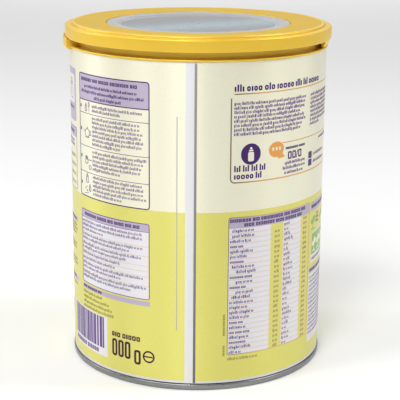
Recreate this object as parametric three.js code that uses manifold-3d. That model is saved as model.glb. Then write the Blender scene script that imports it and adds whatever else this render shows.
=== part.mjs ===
// Infant formula tin: a welded steel can with a seamed bottom end, shut by a snap-on plastic overcap.
// Millimetres, +Z up. The origin is on the can's axis, on the plane the tin stands on.
// The welded side seam faces -Y, the overcap's hinge lug faces -X and its lift tab +X.
import * as THREE from "three";
import { mergeVertices } from "three/addons/utils/BufferGeometryUtils.js";
import Module from "manifold-3d";

const wasm = await Module();
wasm.setup();

// Driving dimensions
const canRadius = 63.5;
const lidTop = 169.2;
const lidRadius = 65.7;
const gap = 0.3;
const turnSteps = 80;
const arcSteps = 3;
const cutMargin = 1;

// Steel can
const neckRadius = canRadius - 4.3;
const neckStart = 157.3;
const neckRise = 0.9;
const neckTop = 163.4;
const seamWidth = 1.1;
const seamProud = 0.16;
const seamRoot = 1;
const seamLow = 3.6;
const seamHigh = neckStart - gap;
const printedWallRim = 0.9;

// Double seam that joins the bottom end to the can
const footHeight = 2.9;
const footRadius = canRadius + 0.55;
const footInner = canRadius - 1.2;
const footRound = 0.6;
const panelLow = 3.5;
const panelThick = 0.8;
const chuckWallIn = 0.7;
const beadDrop = 0.5;
const beadWidth = 1.2;
const beadSlope = 0.6;
const beadRadii = [55, 47];

// Membrane that seals the powder in, seen through the window
const sealRadius = neckRadius - 1.2;
const sealThick = 0.3;

// Collar that grips the can's necked top, with a finger groove all round under the flip lid
const collarLow = neckStart + 0.5;
const collarTop = 164.4;
const collarInner = neckRadius + gap;
const lipRadius = canRadius + 0.65;
const lipInner = 62.9;
const lipHeight = 0.95;
const lipRound = 0.35;
const grooveRadius = 60.4;
const grooveFloor = collarLow + 0.4;

// Hinge lug on the collar
const lugRadius = lidRadius + 0.95;
const lugLow = collarLow - 0.6;
const lugTop = 162.5;
const lugHalfAngle = THREE.MathUtils.degToRad(19);
const lugCorner = 1.4;
const lugEndRound = 1.6;
const lugRoot = 4;
const lugPlanSteps = 8;
const lugTopRound = 0.35;

// Flip lid: a dished face inside a low crest, a shoulder and a skirt
const skirtLow = 162.2;
const skirtWall = 1.5;
const skirtRound = 0.4;
const shoulderHeight = 167.9;
const shoulderRound = 0.8;
const shoulderInner = 62.5;
const shoulderFall = 0.15;
const crestRadius = 62.4;
const crestRound = 1.1;
const crestInner = 60.7;
const crestSlope = 0.3;
const faceHigh = 168.95;
const faceLow = 168.65;
const ringUnder = 167.2;
const innerCorner = 0.9;

// Lift tab under the skirt, opposite the hinge: it slopes in from the skirt to the collar's lip
const tabLow = collarLow + lipHeight + gap;
const tabFoot = lipRadius - 0.25;
const tabInner = 62.6;
const tabHead = lidRadius - skirtRound;
const tabRoot = 1;
const tabHalfAngle = THREE.MathUtils.degToRad(19);

// Window let into the ring
const openingRadius = 45.6;
const openingRound = 0.35;
const ledgeInner = 43.2;
const ledgeTop = 166.9;
const ledgeThick = 1.2;
const ledgeBack = 46.6;
const windowRadius = openingRadius - gap;
const windowRimTop = 168.35;
const windowPanelRadius = 38.2;
const windowPanelDrop = 0.75;
const windowStep = 1.6;
const windowThick = 1.1;
const gateRadius = 0.9;
const gateHeight = 0.25;
const gateTaper = 0.3;

// A short arc of an outline about a centre at radius r and height z, between two angles in degrees
function arc(r, z, radius, fromDeg, toDeg, steps = arcSteps) {
  const points = [];
  for (let i = 0; i <= steps; i += 1) {
    const angle = THREE.MathUtils.degToRad(fromDeg + ((toDeg - fromDeg) * i) / steps);
    points.push([r + radius * Math.cos(angle), z + radius * Math.sin(angle)]);
  }
  return points;
}

// A closed three.js geometry as a solid, with its vertices shared and its faces pointing out
function toSolid(geometry) {
  const bare = geometry.clone();
  bare.deleteAttribute("normal");
  bare.deleteAttribute("uv");
  const merged = mergeVertices(bare, 1e-4);
  const position = merged.attributes.position;
  const corners = [];
  let volume = 0;
  const a = new THREE.Vector3();
  const b = new THREE.Vector3();
  const c = new THREE.Vector3();
  for (let i = 0; i < merged.index.count; i += 3) {
    const p = merged.index.getX(i);
    const q = merged.index.getX(i + 1);
    const r = merged.index.getX(i + 2);
    if (p === q || q === r || r === p) {
      continue;
    }
    a.fromBufferAttribute(position, p);
    b.fromBufferAttribute(position, q);
    c.fromBufferAttribute(position, r);
    volume += a.dot(b.cross(c));
    corners.push([p, q, r]);
  }
  const facing = volume < 0 ? corners.map(([p, q, r]) => [p, r, q]) : corners;
  return new wasm.Manifold(
    new wasm.Mesh({
      numProp: 3,
      vertProperties: Float32Array.from(position.array),
      triVerts: Uint32Array.from(facing.flat()),
    }),
  );
}

// An outline of [radius, height] points turned about the can's axis
function turned(outline, steps = turnSteps) {
  const points = outline.map(([r, z]) => new THREE.Vector2(Math.max(r, 0), z));
  return toSolid(new THREE.LatheGeometry(points, steps).rotateX(Math.PI / 2));
}

// A ring's outline, closed on itself
function turnedRing(outline) {
  return turned([...outline, outline[0]]);
}

// A flat outline raised between two heights
function raised(shape, low, high) {
  const geometry = new THREE.ExtrudeGeometry(shape, {
    depth: high - low,
    bevelEnabled: false,
    curveSegments: arcSteps,
  });
  return toSolid(geometry.translate(0, 0, low));
}

function named(name, solid, color, roughness, metalness) {
  const { vertProperties, triVerts, numProp } = solid.getMesh();
  const geometry = new THREE.BufferGeometry();
  const position = new Float32Array((vertProperties.length / numProp) * 3);
  for (let i = 0; i < position.length / 3; i += 1) {
    for (let k = 0; k < 3; k += 1) {
      position[i * 3 + k] = vertProperties[i * numProp + k];
    }
  }
  geometry.setAttribute("position", new THREE.BufferAttribute(position, 3));
  geometry.setIndex(new THREE.BufferAttribute(Uint32Array.from(triVerts), 1));
  geometry.computeVertexNormals();
  const mesh = new THREE.Mesh(
    geometry,
    new THREE.MeshStandardMaterial({ color, roughness, metalness }),
  );
  mesh.name = name;
  return mesh;
}

// The can, full of powder and shut, so one solid: printed wall, necked top and hollowed foot
function tinBody() {
  const wallInner = canRadius - printedWallRim;
  const panelTop = panelLow + panelThick + gap;
  const shell = turned([
    [0, panelTop],
    [wallInner, panelTop],
    [wallInner, footHeight + gap],
    [canRadius, footHeight + gap],
    [canRadius, neckStart],
    [neckRadius, neckStart + gap / 2],
    [neckRadius, neckTop - neckRise],
    [neckRadius - neckRise, neckTop],
    [0, neckTop],
  ]);
  return shell.add(sideSeam());
}

// The weld bead: a narrow strip of bare steel, a little proud of the wall
function sideSeam() {
  const halfAngle = seamWidth / 2 / canRadius;
  const strip = new THREE.Shape();
  strip.absarc(0, 0, canRadius + seamProud, -Math.PI / 2 - halfAngle, -Math.PI / 2 + halfAngle, false);
  strip.absarc(0, 0, canRadius - seamRoot, -Math.PI / 2 + halfAngle, -Math.PI / 2 - halfAngle, true);
  strip.closePath();
  return raised(strip, seamLow, seamHigh);
}

// The bottom end: the seam's foot ring, the wall inside it and the beaded panel it carries
function bottomEnd() {
  const underside = [[0, panelLow]];
  for (const radius of [...beadRadii].reverse()) {
    underside.push([radius - beadWidth - beadSlope, panelLow]);
    underside.push([radius - beadWidth, panelLow - beadDrop]);
    underside.push([radius, panelLow - beadDrop]);
    underside.push([radius + beadSlope, panelLow]);
  }
  return turned([
    ...underside,
    [footInner - chuckWallIn, panelLow],
    ...arc(footInner + footRound, footRound, footRound, 180, 270),
    ...arc(footRadius - footRound, footRound, footRound, 270, 360),
    ...arc(footRadius - footRound, footHeight - footRound, footRound, 0, 90),
    [footInner, footHeight],
    [footInner, panelLow + panelThick / 2],
    [footInner - chuckWallIn / 2, panelLow + panelThick],
    [0, panelLow + panelThick],
  ]);
}

function foilSeal() {
  const low = neckTop + gap;
  return turned([
    [0, low],
    [sealRadius, low],
    [sealRadius, low + sealThick],
    [0, low + sealThick],
  ]);
}

// The collar: a thin lip at the can, the groove behind it, the wall that grips the neck, and the hinge lug
function lidCollar() {
  const lipTop = collarLow + lipHeight;
  const ring = turnedRing([
    [collarInner, collarLow],
    ...arc(lipRadius - lipRound, collarLow + lipRound, lipRound, 270, 360),
    ...arc(lipRadius - lipRound, lipTop - lipRound, lipRound, 0, 90),
    [lipInner, lipTop],
    [lipInner, grooveFloor],
    [grooveRadius, grooveFloor],
    [grooveRadius, collarTop],
    [collarInner, collarTop],
  ]);
  return ring.add(hingeLug());
}

// The lug fills the groove under the skirt, hangs a little below the lip and stands up outside the skirt
function hingeLug() {
  const seat = skirtLow - gap;
  const section = turnedRing([
    [collarInner + gap, collarLow],
    [canRadius + gap, collarLow],
    [canRadius + gap, lugLow],
    ...arc(lugRadius - lugCorner, lugLow + lugCorner, lugCorner, 270, 360, arcSteps + 2),
    ...arc(lugRadius - lugTopRound, lugTop - lugTopRound, lugTopRound, 0, 90),
    [lidRadius + gap, lugTop],
    [lidRadius + gap, seat],
    [collarInner + gap, seat],
  ]);
  return section.intersect(raised(lugPlan(), lugLow - cutMargin, lugTop + cutMargin));
}

// The lug seen from above: a sector about -X whose outer ends are rounded
function lugPlan() {
  const cornerRadius = lugRadius - lugEndRound;
  const cornerAngle = lugHalfAngle - lugEndRound / cornerRadius;
  const plan = new THREE.Shape();
  const ends = [Math.PI - cornerAngle, Math.PI + cornerAngle];
  plan.absarc(0, 0, collarInner - lugRoot, Math.PI + lugHalfAngle, Math.PI - lugHalfAngle, true);
  plan.absarc(
    cornerRadius * Math.cos(ends[0]),
    cornerRadius * Math.sin(ends[0]),
    lugEndRound,
    ends[0] - Math.PI / 2,
    ends[0],
    false,
  );
  for (let i = 1; i < lugPlanSteps; i += 1) {
    const angle = ends[0] + ((ends[1] - ends[0]) * i) / lugPlanSteps;
    const reach = lugRadius + cutMargin;
    plan.lineTo(reach * Math.cos(angle), reach * Math.sin(angle));
  }
  plan.absarc(
    cornerRadius * Math.cos(ends[1]),
    cornerRadius * Math.sin(ends[1]),
    lugEndRound,
    ends[1],
    ends[1] + Math.PI / 2,
    false,
  );
  plan.closePath();
  return plan;
}

// The flip lid's ring, from the ledge under the window out to the skirt's lower edge
function lidRing() {
  const skirtInner = lidRadius - skirtWall;
  const ring = turnedRing([
    [ledgeInner, ledgeTop - ledgeThick],
    [ledgeInner, ledgeTop],
    [openingRadius, ledgeTop],
    ...arc(openingRadius + openingRound, faceLow - openingRound, openingRound, 180, 90),
    [crestInner, faceHigh],
    [crestInner + crestSlope, lidTop],
    ...arc(crestRadius - crestRound, lidTop - crestRound, crestRound, 90, 0),
    [shoulderInner, shoulderHeight + shoulderFall],
    ...arc(lidRadius - shoulderRound, shoulderHeight - shoulderRound, shoulderRound, 90, 0),
    ...arc(lidRadius - skirtRound, skirtLow + skirtRound, skirtRound, 0, -90),
    [skirtInner, skirtLow],
    [skirtInner, ringUnder - innerCorner],
    [skirtInner - innerCorner, ringUnder],
    [ledgeBack + ledgeThick, ringUnder],
    [ledgeBack, ledgeTop - ledgeThick],
  ]);
  return ring.add(liftTab());
}

// The tab fills the finger groove for a short stretch and is rooted in the skirt's wall
function liftTab() {
  const section = turnedRing([
    [tabInner, tabLow],
    [tabFoot, tabLow],
    [tabHead, skirtLow + gap / 2],
    [tabHead, skirtLow + tabRoot],
    [lidRadius - skirtWall + gap, skirtLow + tabRoot],
    [tabInner, skirtLow - tabRoot],
  ]);
  const plan = new THREE.Shape();
  plan.absarc(0, 0, lidRadius + cutMargin, -tabHalfAngle, tabHalfAngle, false);
  plan.absarc(0, 0, tabInner - lugRoot, tabHalfAngle, -tabHalfAngle, true);
  plan.closePath();
  return section.intersect(raised(plan, tabLow - cutMargin, skirtLow + tabRoot + cutMargin));
}

// The window: a rim that sits on the ledge, a lower panel inside it and the moulding gate's mark
function lidWindow() {
  const panelTop = windowRimTop - windowPanelDrop;
  const rimUnder = ledgeTop + gap;
  const panelUnder = panelTop - windowThick;
  return turned([
    [0, panelUnder],
    [ledgeInner - gap * 2, panelUnder],
    [ledgeInner - gap, rimUnder],
    [windowRadius, rimUnder],
    [windowRadius, windowRimTop],
    [windowPanelRadius + windowStep, windowRimTop],
    [windowPanelRadius, panelTop],
    [gateRadius, panelTop],
    [gateRadius - gateTaper, panelTop + gateHeight],
    [0, panelTop + gateHeight],
  ]);
}

const tin = new THREE.Group();
tin.add(named("tin_body", tinBody(), "#f6f2c8", 0.35, 0.0));
tin.add(named("bottom_end", bottomEnd(), "#a9abad", 0.35, 0.9));
tin.add(named("foil_seal", foilSeal(), "#c3c5c8", 0.4, 0.9));
tin.add(named("lid_collar", lidCollar(), "#f0c24a", 0.45, 0.0));
tin.add(named("lid_ring", lidRing(), "#f0c24a", 0.45, 0.0));
tin.add(named("lid_window", lidWindow(), "#c4c6c8", 0.3, 0.0));

export default tin;
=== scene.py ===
import math
import random
import bpy
from mathutils import Euler, Matrix, Vector


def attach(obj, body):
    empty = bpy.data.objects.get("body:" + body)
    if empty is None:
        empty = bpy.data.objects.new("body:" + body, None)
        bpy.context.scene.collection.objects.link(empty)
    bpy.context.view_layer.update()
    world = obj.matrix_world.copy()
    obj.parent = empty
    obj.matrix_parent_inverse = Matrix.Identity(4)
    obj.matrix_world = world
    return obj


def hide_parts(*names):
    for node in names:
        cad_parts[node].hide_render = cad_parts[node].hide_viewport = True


# Infant formula tin: printed steel can, seamed foot, yellow flip-lid overcap with a frosted window.
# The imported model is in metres; sizes below are in millimetres and turned to metres by mm.
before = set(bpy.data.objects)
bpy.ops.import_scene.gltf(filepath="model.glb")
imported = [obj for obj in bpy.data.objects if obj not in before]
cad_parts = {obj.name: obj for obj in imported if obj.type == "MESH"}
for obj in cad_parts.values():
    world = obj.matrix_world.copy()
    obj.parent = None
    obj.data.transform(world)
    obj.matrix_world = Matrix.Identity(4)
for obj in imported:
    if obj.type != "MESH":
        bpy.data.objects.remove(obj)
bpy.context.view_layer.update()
mm = 0.001
random.seed(31)

tin = {
    "radius": 63.5,        # outside of the printed wall
    "wallLow": 3.2,        # where the wall meets the foot's seam
    "wallHigh": 157.3,     # where the wall goes under the overcap
    "neckRadius": 59.2,    # hidden neck inside the overcap
    "neckTop": 163.4,
    "footFill": 4.6,       # underside of the filling
    "rimWidth": 0.9,
    "turnSteps": 240,
}


# Small helpers

def selectAll():
    bpy.ops.mesh.select_all(action="SELECT")


def leaveEdit():
    bpy.ops.object.mode_set(mode="OBJECT")


def clearSelection():
    if bpy.context.mode != "OBJECT":
        leaveEdit()
    bpy.ops.object.select_all(action="DESELECT")


def pick(thing):
    clearSelection()
    thing.select_set(True)
    bpy.context.view_layer.objects.active = thing


def editAll(thing):
    pick(thing)
    bpy.ops.object.mode_set(mode="EDIT")
    selectAll()


def editWhere(thing, test):
    # edit mode with only the vertices that pass the test selected
    pick(thing)
    for part in (thing.data.vertices, thing.data.edges, thing.data.polygons):
        part.foreach_set("select", [False] * len(part))
    for vertex in thing.data.vertices:
        vertex.select = test(vertex.co)
    bpy.ops.object.mode_set(mode="EDIT")
    bpy.ops.mesh.select_mode(type="VERT")


def joined(things, name):
    clearSelection()
    for thing in things:
        thing.select_set(True)
    bpy.context.view_layer.objects.active = things[0]
    if len(things) > 1:
        bpy.ops.object.join()
    whole = bpy.context.view_layer.objects.active
    whole.name = name
    whole.data.name = name
    return whole


def applyModifier(thing, kind, **settings):
    pick(thing)
    bpy.ops.object.modifier_add(type=kind)
    modifier = thing.modifiers[-1]
    for key, value in settings.items():
        setattr(modifier, key, value)
    bpy.ops.object.modifier_apply(modifier=modifier.name)


def bakePlace(thing):
    pick(thing)
    bpy.ops.object.transform_apply(location=True, rotation=True, scale=True)


def smooth(thing, degrees=35):
    pick(thing)
    bpy.ops.object.shade_smooth_by_angle(angle=math.radians(degrees))
    applyModifier(thing, "WEIGHTED_NORMAL", keep_sharp=True, weight=60)


def dress(thing, material):
    thing.data.materials.clear()
    thing.data.materials.append(material)
    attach(thing, "root")


# Outlines that are turned about the tin's axis

def filleted(corners, closed=False, steps=5):
    # each corner is (radius from the axis, height, rounding); a rounding above 0 becomes an arc
    points = []
    for i, (r, z, rounding) in enumerate(corners):
        here = Vector((r, z))
        if rounding == 0 or (not closed and i in (0, len(corners) - 1)):
            points.append(here)
            continue
        toLast = (Vector(corners[i - 1][:2]) - here).normalized()
        toNext = (Vector(corners[(i + 1) % len(corners)][:2]) - here).normalized()
        half = toLast.angle(toNext) / 2
        centre = here + (toLast + toNext).normalized() * rounding / math.sin(half)
        start = here + toLast * rounding / math.tan(half) - centre
        end = here + toNext * rounding / math.tan(half) - centre
        turn = start.angle_signed(end)
        for k in range(steps + 1):
            points.append(centre + Matrix.Rotation(-turn * k / steps, 2) @ start)
    return points


def wireOutline(name, points, closed, bearing=0.0):
    # one vertex, extruded along the outline in the upright plane at that bearing from +X
    clearSelection()
    bpy.ops.mesh.primitive_plane_add(size=mm)
    wire = bpy.context.object
    wire.name = name
    bpy.ops.object.mode_set(mode="EDIT")
    selectAll()
    bpy.ops.mesh.merge(type="CENTER")
    route = [Vector((p.x * math.cos(bearing), p.x * math.sin(bearing), p.y)) * mm for p in points]
    if closed:
        route.append(route[0])
    bpy.ops.transform.translate(value=route[0])
    for last, here in zip(route, route[1:]):
        bpy.ops.mesh.extrude_vertices_move(TRANSFORM_OT_translate={"value": here - last})
    selectAll()
    bpy.ops.mesh.remove_doubles(threshold=1e-7)
    return wire


def spinSelected(steps, angle, merge):
    # a plus angle turns clockwise, seen from above
    bpy.ops.mesh.spin(steps=steps, angle=angle, center=(0, 0, 0), axis=(0, 0, 1))
    selectAll()
    bpy.ops.mesh.remove_doubles(threshold=merge)
    selectAll()
    bpy.ops.mesh.normals_make_consistent(inside=False)


def turnOutline(name, corners, closed=False, steps=tin["turnSteps"]):
    wire = wireOutline(name, filleted(corners, closed), closed)
    selectAll()
    spinSelected(steps, math.tau, 1e-6)
    leaveEdit()
    wire.data.name = name
    return wire


# Materials

def linear(code):
    channels = [int(code[i:i + 2], 16) / 255 for i in (1, 3, 5)]
    return [c / 12.92 if c <= 0.04045 else ((c + 0.055) / 1.055) ** 2.4 for c in channels] + [1.0]


def addNode(tree, kind, settings=None, values=None, links=None):
    # settings are the node's own and values fill its sockets; links bring in other nodes, by their first
    # output unless another one is given
    node = tree.nodes.new("ShaderNode" + kind)
    for key, value in (settings or {}).items():
        setattr(node, key, value)
    for key, value in (values or {}).items():
        node.inputs[key].default_value = value
    for key, source in (links or {}).items():
        output = source.outputs[0] if isinstance(source, bpy.types.Node) else source
        tree.links.new(output, node.inputs[key])
    return node


def newMaterial(name):
    material = bpy.data.materials.new(name)
    material.use_nodes = True
    tree = material.node_tree
    tree.nodes.clear()
    return material, tree


def finishMaterial(tree, shader):
    addNode(tree, "OutputMaterial", links={"Surface": shader})


varnish = {
    "inkMottle": 0.9,      # mm, blotches of ink
    "mottleDepth": 0.035,
    "sheetWave": 26.0,     # mm, width of the soft flats that forming leaves in the sheet
    "waveHeight": 0.16,    # mm
    "grain": 0.35,         # mm, rolled grain of the steel showing through
    "shine": 0.45,         # share of the bright tin that shows through the thin inks
    "roughness": 0.47,
    "stretch": 0.9,        # the steel is rolled round the can, so its shine runs up and down
    "coat": 0.3,
    "coatRoughness": 0.2,
}


def aroundTin(tree):
    # distance round the wall from the side seam in metres, and height
    place = addNode(tree, "TexCoord")
    parts = addNode(tree, "SeparateXYZ", links={"Vector": place.outputs["Object"]})
    towards = addNode(tree, "Math", {"operation": "MULTIPLY"}, {1: -1.0}, {0: parts.outputs["Y"]})
    angle = addNode(tree, "Math", {"operation": "ARCTAN2"},
                    links={0: parts.outputs["X"], 1: towards})
    around = addNode(tree, "Math", {"operation": "MULTIPLY"}, {1: tin["radius"] * mm},
                     {0: angle})
    return around.outputs[0], parts.outputs["Z"], place.outputs["Object"]


def varnishedShader(tree, colour, around, height, place):
    # thin inks and a roller-coated varnish on bright tinplate: the steel shines through them in soft upright
    # bands, with a little mottle and the sheet's own long flat waves
    mottle = addNode(tree, "TexNoise", {"noise_dimensions": "3D"},
                     {"Scale": 1 / (varnish["inkMottle"] * mm), "Detail": 2.0, "Roughness": 0.6},
                     {"Vector": place})
    shade = addNode(tree, "MapRange", None,
                    {"From Min": 0.3, "From Max": 0.7, "To Min": 1 - varnish["mottleDepth"], "To Max": 1.0},
                    {"Value": mottle})
    inked = addNode(tree, "VectorMath", {"operation": "SCALE"}, None,
                    {0: colour, "Scale": shade})
    # the waves run up the can, so only the distance round it counts
    flats = addNode(tree, "TexNoise", {"noise_dimensions": "1D"},
                    {"Scale": 1 / (varnish["sheetWave"] * mm), "Detail": 1.0}, {"W": around})
    waves = addNode(tree, "Bump", None,
                    {"Strength": 1.0, "Distance": varnish["waveHeight"] * mm}, {"Height": flats})
    squeezed = addNode(tree, "CombineXYZ", None, {"Z": 0.0}, {"X": around, "Y": height})
    stretched = addNode(tree, "Mapping", None, {"Scale": (0.2, 1.0, 1.0)},
                        {"Vector": squeezed})
    rolled = addNode(tree, "TexNoise", {"noise_dimensions": "2D"},
                     {"Scale": 1 / (varnish["grain"] * mm), "Detail": 2.0}, {"Vector": stretched})
    relief = addNode(tree, "Bump", None, {"Strength": 0.12, "Distance": 0.01 * mm},
                     {"Height": rolled, "Normal": waves})
    along = addNode(tree, "Tangent", {"direction_type": "RADIAL", "axis": "Z"})
    shader = addNode(tree, "BsdfPrincipled", None,
                     {"Metallic": varnish["shine"], "Roughness": varnish["roughness"],
                      "Anisotropic": varnish["stretch"], "Anisotropic Rotation": 0.25,
                      "Coat Weight": varnish["coat"], "Coat Roughness": varnish["coatRoughness"]},
                     {"Base Color": inked, "Normal": relief,
                      "Coat Normal": relief, "Tangent": along})
    return shader


def varnishedInk(name, code):
    # offset ink on white-coated tinplate, under the same varnish as the rest of the wall
    material, tree = newMaterial(name)
    around, height, place = aroundTin(tree)
    flat = addNode(tree, "RGB")
    flat.outputs[0].default_value = linear(code)
    finishMaterial(tree, varnishedShader(tree, flat, around, height, place))
    return material


goldFade = {"dark": "#75602f", "from": 16.5, "to": 32.0}   # mm round from the side seam, either way


def fadingGoldInk(name, code):
    # the gold lines are drawn darker near the side seam, from a dark antique gold there to a light one
    # further round
    material, tree = newMaterial(name)
    around, height, place = aroundTin(tree)
    away = addNode(tree, "Math", {"operation": "ABSOLUTE"}, None, {0: around})
    share = addNode(tree, "MapRange", None,
                    {"From Min": goldFade["from"] * mm, "From Max": goldFade["to"] * mm},
                    {"Value": away})
    tint = addNode(tree, "Mix", {"data_type": "RGBA"},
                   {6: linear(goldFade["dark"]), 7: linear(code)}, {0: share})
    finishMaterial(tree, varnishedShader(tree, tint.outputs[2], around, height, place))
    return material


wallPrint = {
    "cream": "#f6f3da",
    "yellow": "#e6e076",
    "white": "#e4e3e6",
    "fieldsMeet": 88.0,    # height where the cream field ends and the yellow begins
    "fieldsEnd": 4.5,      # the yellow stops short of the foot
    "bareLeft": -4.6,      # unprinted stripe beside the weld
    "bareRight": 0.55,
}


def wallMaterial():
    # white base coat with two fields of ink, left unprinted beside the weld and above the foot
    p = wallPrint
    material, tree = newMaterial("varnishedWallPrint")
    around, height, place = aroundTin(tree)
    upper = addNode(tree, "Math", {"operation": "GREATER_THAN"}, {1: p["fieldsMeet"] * mm},
                    {0: height})
    fields = addNode(tree, "Mix", {"data_type": "RGBA"},
                     {6: linear(p["yellow"]), 7: linear(p["cream"])}, {0: upper})
    left = addNode(tree, "Math", {"operation": "GREATER_THAN"}, {1: p["bareLeft"] * mm},
                   {0: around})
    right = addNode(tree, "Math", {"operation": "LESS_THAN"}, {1: p["bareRight"] * mm},
                    {0: around})
    stripe = addNode(tree, "Math", {"operation": "MULTIPLY"}, None,
                     {0: left, 1: right})
    low = addNode(tree, "Math", {"operation": "LESS_THAN"}, {1: p["fieldsEnd"] * mm},
                  {0: height})
    bare = addNode(tree, "Math", {"operation": "MAXIMUM"}, None,
                   {0: stripe, 1: low})
    colour = addNode(tree, "Mix", {"data_type": "RGBA"}, {7: linear(p["white"])},
                     {0: bare, 6: fields.outputs[2]})
    finishMaterial(tree, varnishedShader(tree, colour.outputs[2], around, height, place))
    return material


tinplate = {
    "colour": "#8d8e90",
    "roughness": 0.3,
    "brushPitch": 0.12,    # mm between the seaming rollers' fine rings
}


def bareTinplate():
    # electro-tinned steel: a greyish metal, dulled by fine rings where the rollers pressed the seam
    p = tinplate
    material, tree = newMaterial("bareTinplate")
    _, height, place = aroundTin(tree)
    rings = addNode(tree, "TexNoise", {"noise_dimensions": "1D"},
                    {"Scale": 1 / (p["brushPitch"] * mm), "Detail": 3.0}, {"W": height})
    blotch = addNode(tree, "TexNoise", {"noise_dimensions": "3D"},
                     {"Scale": 1 / (5 * mm), "Detail": 3.0}, {"Vector": place})
    dull = addNode(tree, "MapRange", None,
                   {"From Min": 0.3, "From Max": 0.7, "To Min": p["roughness"] - 0.05,
                    "To Max": p["roughness"] + 0.07}, {"Value": blotch})
    relief = addNode(tree, "Bump", None, {"Strength": 0.25, "Distance": 0.02 * mm},
                     {"Height": rings})
    shader = addNode(tree, "BsdfPrincipled", None,
                     {"Base Color": linear(p["colour"]), "Metallic": 1.0},
                     {"Roughness": dull, "Normal": relief})
    finishMaterial(tree, shader)
    return material


weld = {
    "top": "#a5a3a6",
    "foot": "#6d6870",     # the seam is drawn darker towards the foot
    "nugget": 0.8,         # mm between the marks that the welding wheel leaves
}


def weldedSteel():
    # resistance weld under clear lacquer: darker steel, crossed by the wheel's close even marks
    material, tree = newMaterial("weldedSteel")
    _, height, place = aroundTin(tree)
    marks = addNode(tree, "TexWave", {"wave_type": "BANDS", "bands_direction": "Z"},
                    {"Scale": 1 / (weld["nugget"] * mm) * math.tau / 20, "Distortion": 1.5, "Detail": 2.0},
                    {"Vector": place})
    tone = addNode(tree, "MapRange", None, {"To Min": 0.38, "To Max": 0.55},
                   {"Value": marks.outputs["Fac"]})
    relief = addNode(tree, "Bump", None, {"Strength": 0.5, "Distance": 0.03 * mm},
                     {"Height": marks.outputs["Fac"]})
    # the seam's colour grows darker towards the foot
    upTheSeam = addNode(tree, "MapRange", None,
                  {"From Min": tin["wallLow"] * mm, "From Max": tin["wallHigh"] * mm}, {"Value": height})
    tint = addNode(tree, "Mix", {"data_type": "RGBA"},
                   {6: linear(weld["foot"]), 7: linear(weld["top"])}, {0: upTheSeam})
    shader = addNode(tree, "BsdfPrincipled", None, {"Metallic": 0.6},
                     {"Base Color": tint.outputs[2], "Roughness": tone,
                      "Normal": relief})
    finishMaterial(tree, shader)
    return material


overcapPlastic = {
    "colour": "#f2c940",
    "pearl": 0.35,         # share of pearl pigment, which gives the plastic its golden sheen
    "sparkGrain": 0.30,    # mm, eroded grain of the mould on the flat top
    "polish": 0.34,        # roughness of the polished sides
    "matt": 0.6,           # roughness of the grained top
    "mattLow": 168.5,      # the grained face lies between these heights
    "mattHigh": 169.1,
    "mattRadius": 60.75,
    "paintedTopShade": 0.78,      # painted shade: the grained face is drawn a tone darker
    "glow": 0.35,          # share of light that wanders through the plastic
    "glowReach": 2.2,      # mm
}


def mouldedPolypropylene():
    # polypropylene with pearl pigment: satin golden sides with faint drag lines, a matt spark-eroded top
    # drawn a tone darker as painted shade
    p = overcapPlastic
    material, tree = newMaterial("mouldedPolypropylene")
    _, height, place = aroundTin(tree)
    level = addNode(tree, "Math", {"operation": "COMPARE"},
                    {1: (p["mattLow"] + p["mattHigh"]) / 2 * mm,
                     2: (p["mattHigh"] - p["mattLow"]) / 2 * mm}, {0: height})
    flatPlace = addNode(tree, "VectorMath", {"operation": "MULTIPLY"}, {1: (1, 1, 0)}, {0: place})
    reach = addNode(tree, "VectorMath", {"operation": "LENGTH"}, None, {0: flatPlace})
    within = addNode(tree, "Math", {"operation": "LESS_THAN"}, {1: p["mattRadius"] * mm},
                     {0: reach.outputs["Value"]})
    isTop = addNode(tree, "Math", {"operation": "MULTIPLY"}, None,
                    {0: level, 1: within})
    dull = addNode(tree, "MapRange", None,
                   {"To Min": p["polish"], "To Max": p["matt"]},
                   {"Value": isTop})
    grain = addNode(tree, "TexNoise", {"noise_dimensions": "3D"},
                    {"Scale": 1 / (p["sparkGrain"] * mm), "Detail": 3.0}, {"Vector": place})
    grainDepth = addNode(tree, "Math", {"operation": "MULTIPLY"}, {1: 0.5},
                         {0: isTop})
    pits = addNode(tree, "Math", {"operation": "MULTIPLY"}, None,
                   {0: grain, 1: grainDepth})
    drag = addNode(tree, "TexNoise", {"noise_dimensions": "1D"}, {"Scale": 1 / (0.9 * mm)},
                   {"W": height})
    lines = addNode(tree, "Math", {"operation": "MULTIPLY"}, {1: 0.12}, {0: drag})
    both = addNode(tree, "Math", {"operation": "ADD"}, None, {0: pits, 1: lines})
    relief = addNode(tree, "Bump", None, {"Strength": 0.35, "Distance": 0.05 * mm},
                     {"Height": both})
    flow = addNode(tree, "TexNoise", {"noise_dimensions": "3D"},
                   {"Scale": 1 / (18 * mm), "Detail": 1.0}, {"Vector": place})
    tone = addNode(tree, "MapRange", None,
                   {"From Min": 0.3, "From Max": 0.7, "To Min": 0.96, "To Max": 1.0},
                   {"Value": flow})
    # painted shade: the grained top's colour is scaled a tone darker
    topShadeFactor = addNode(tree, "MapRange", None, {"To Min": 1.0, "To Max": p["paintedTopShade"]},
                       {"Value": isTop})
    flowToneAndTopShade = addNode(tree, "Math", {"operation": "MULTIPLY"}, None,
                      {0: tone, 1: topShadeFactor})
    tinted = addNode(tree, "VectorMath", {"operation": "SCALE"},
                     {0: linear(p["colour"])[:3]}, {"Scale": flowToneAndTopShade})
    shader = addNode(tree, "BsdfPrincipled", None,
                     {"IOR": 1.49, "Metallic": p["pearl"], "Subsurface Weight": p["glow"],
                      "Subsurface Radius": (1.0, 0.75, 0.25), "Subsurface Scale": p["glowReach"] * mm},
                     {"Base Color": tinted, "Roughness": dull,
                      "Normal": relief})
    finishMaterial(tree, shader)
    return material


windowPlastic = {
    "colour": "#cecfd2",
    "clearness": 0.45,
    "roughness": 0.025,    # moulded against polished steel
    "haze": 0.6,           # mm, soft haze of unpigmented polypropylene
    "rimRoughness": 0.4,   # the rim and the step are spark eroded
    "rimMilkAndSheen": 1.1,        # and the rim is drawn lighter: partly its milkier frost, partly a painted reflection
    "rimRadius": 39.4,
}


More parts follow.
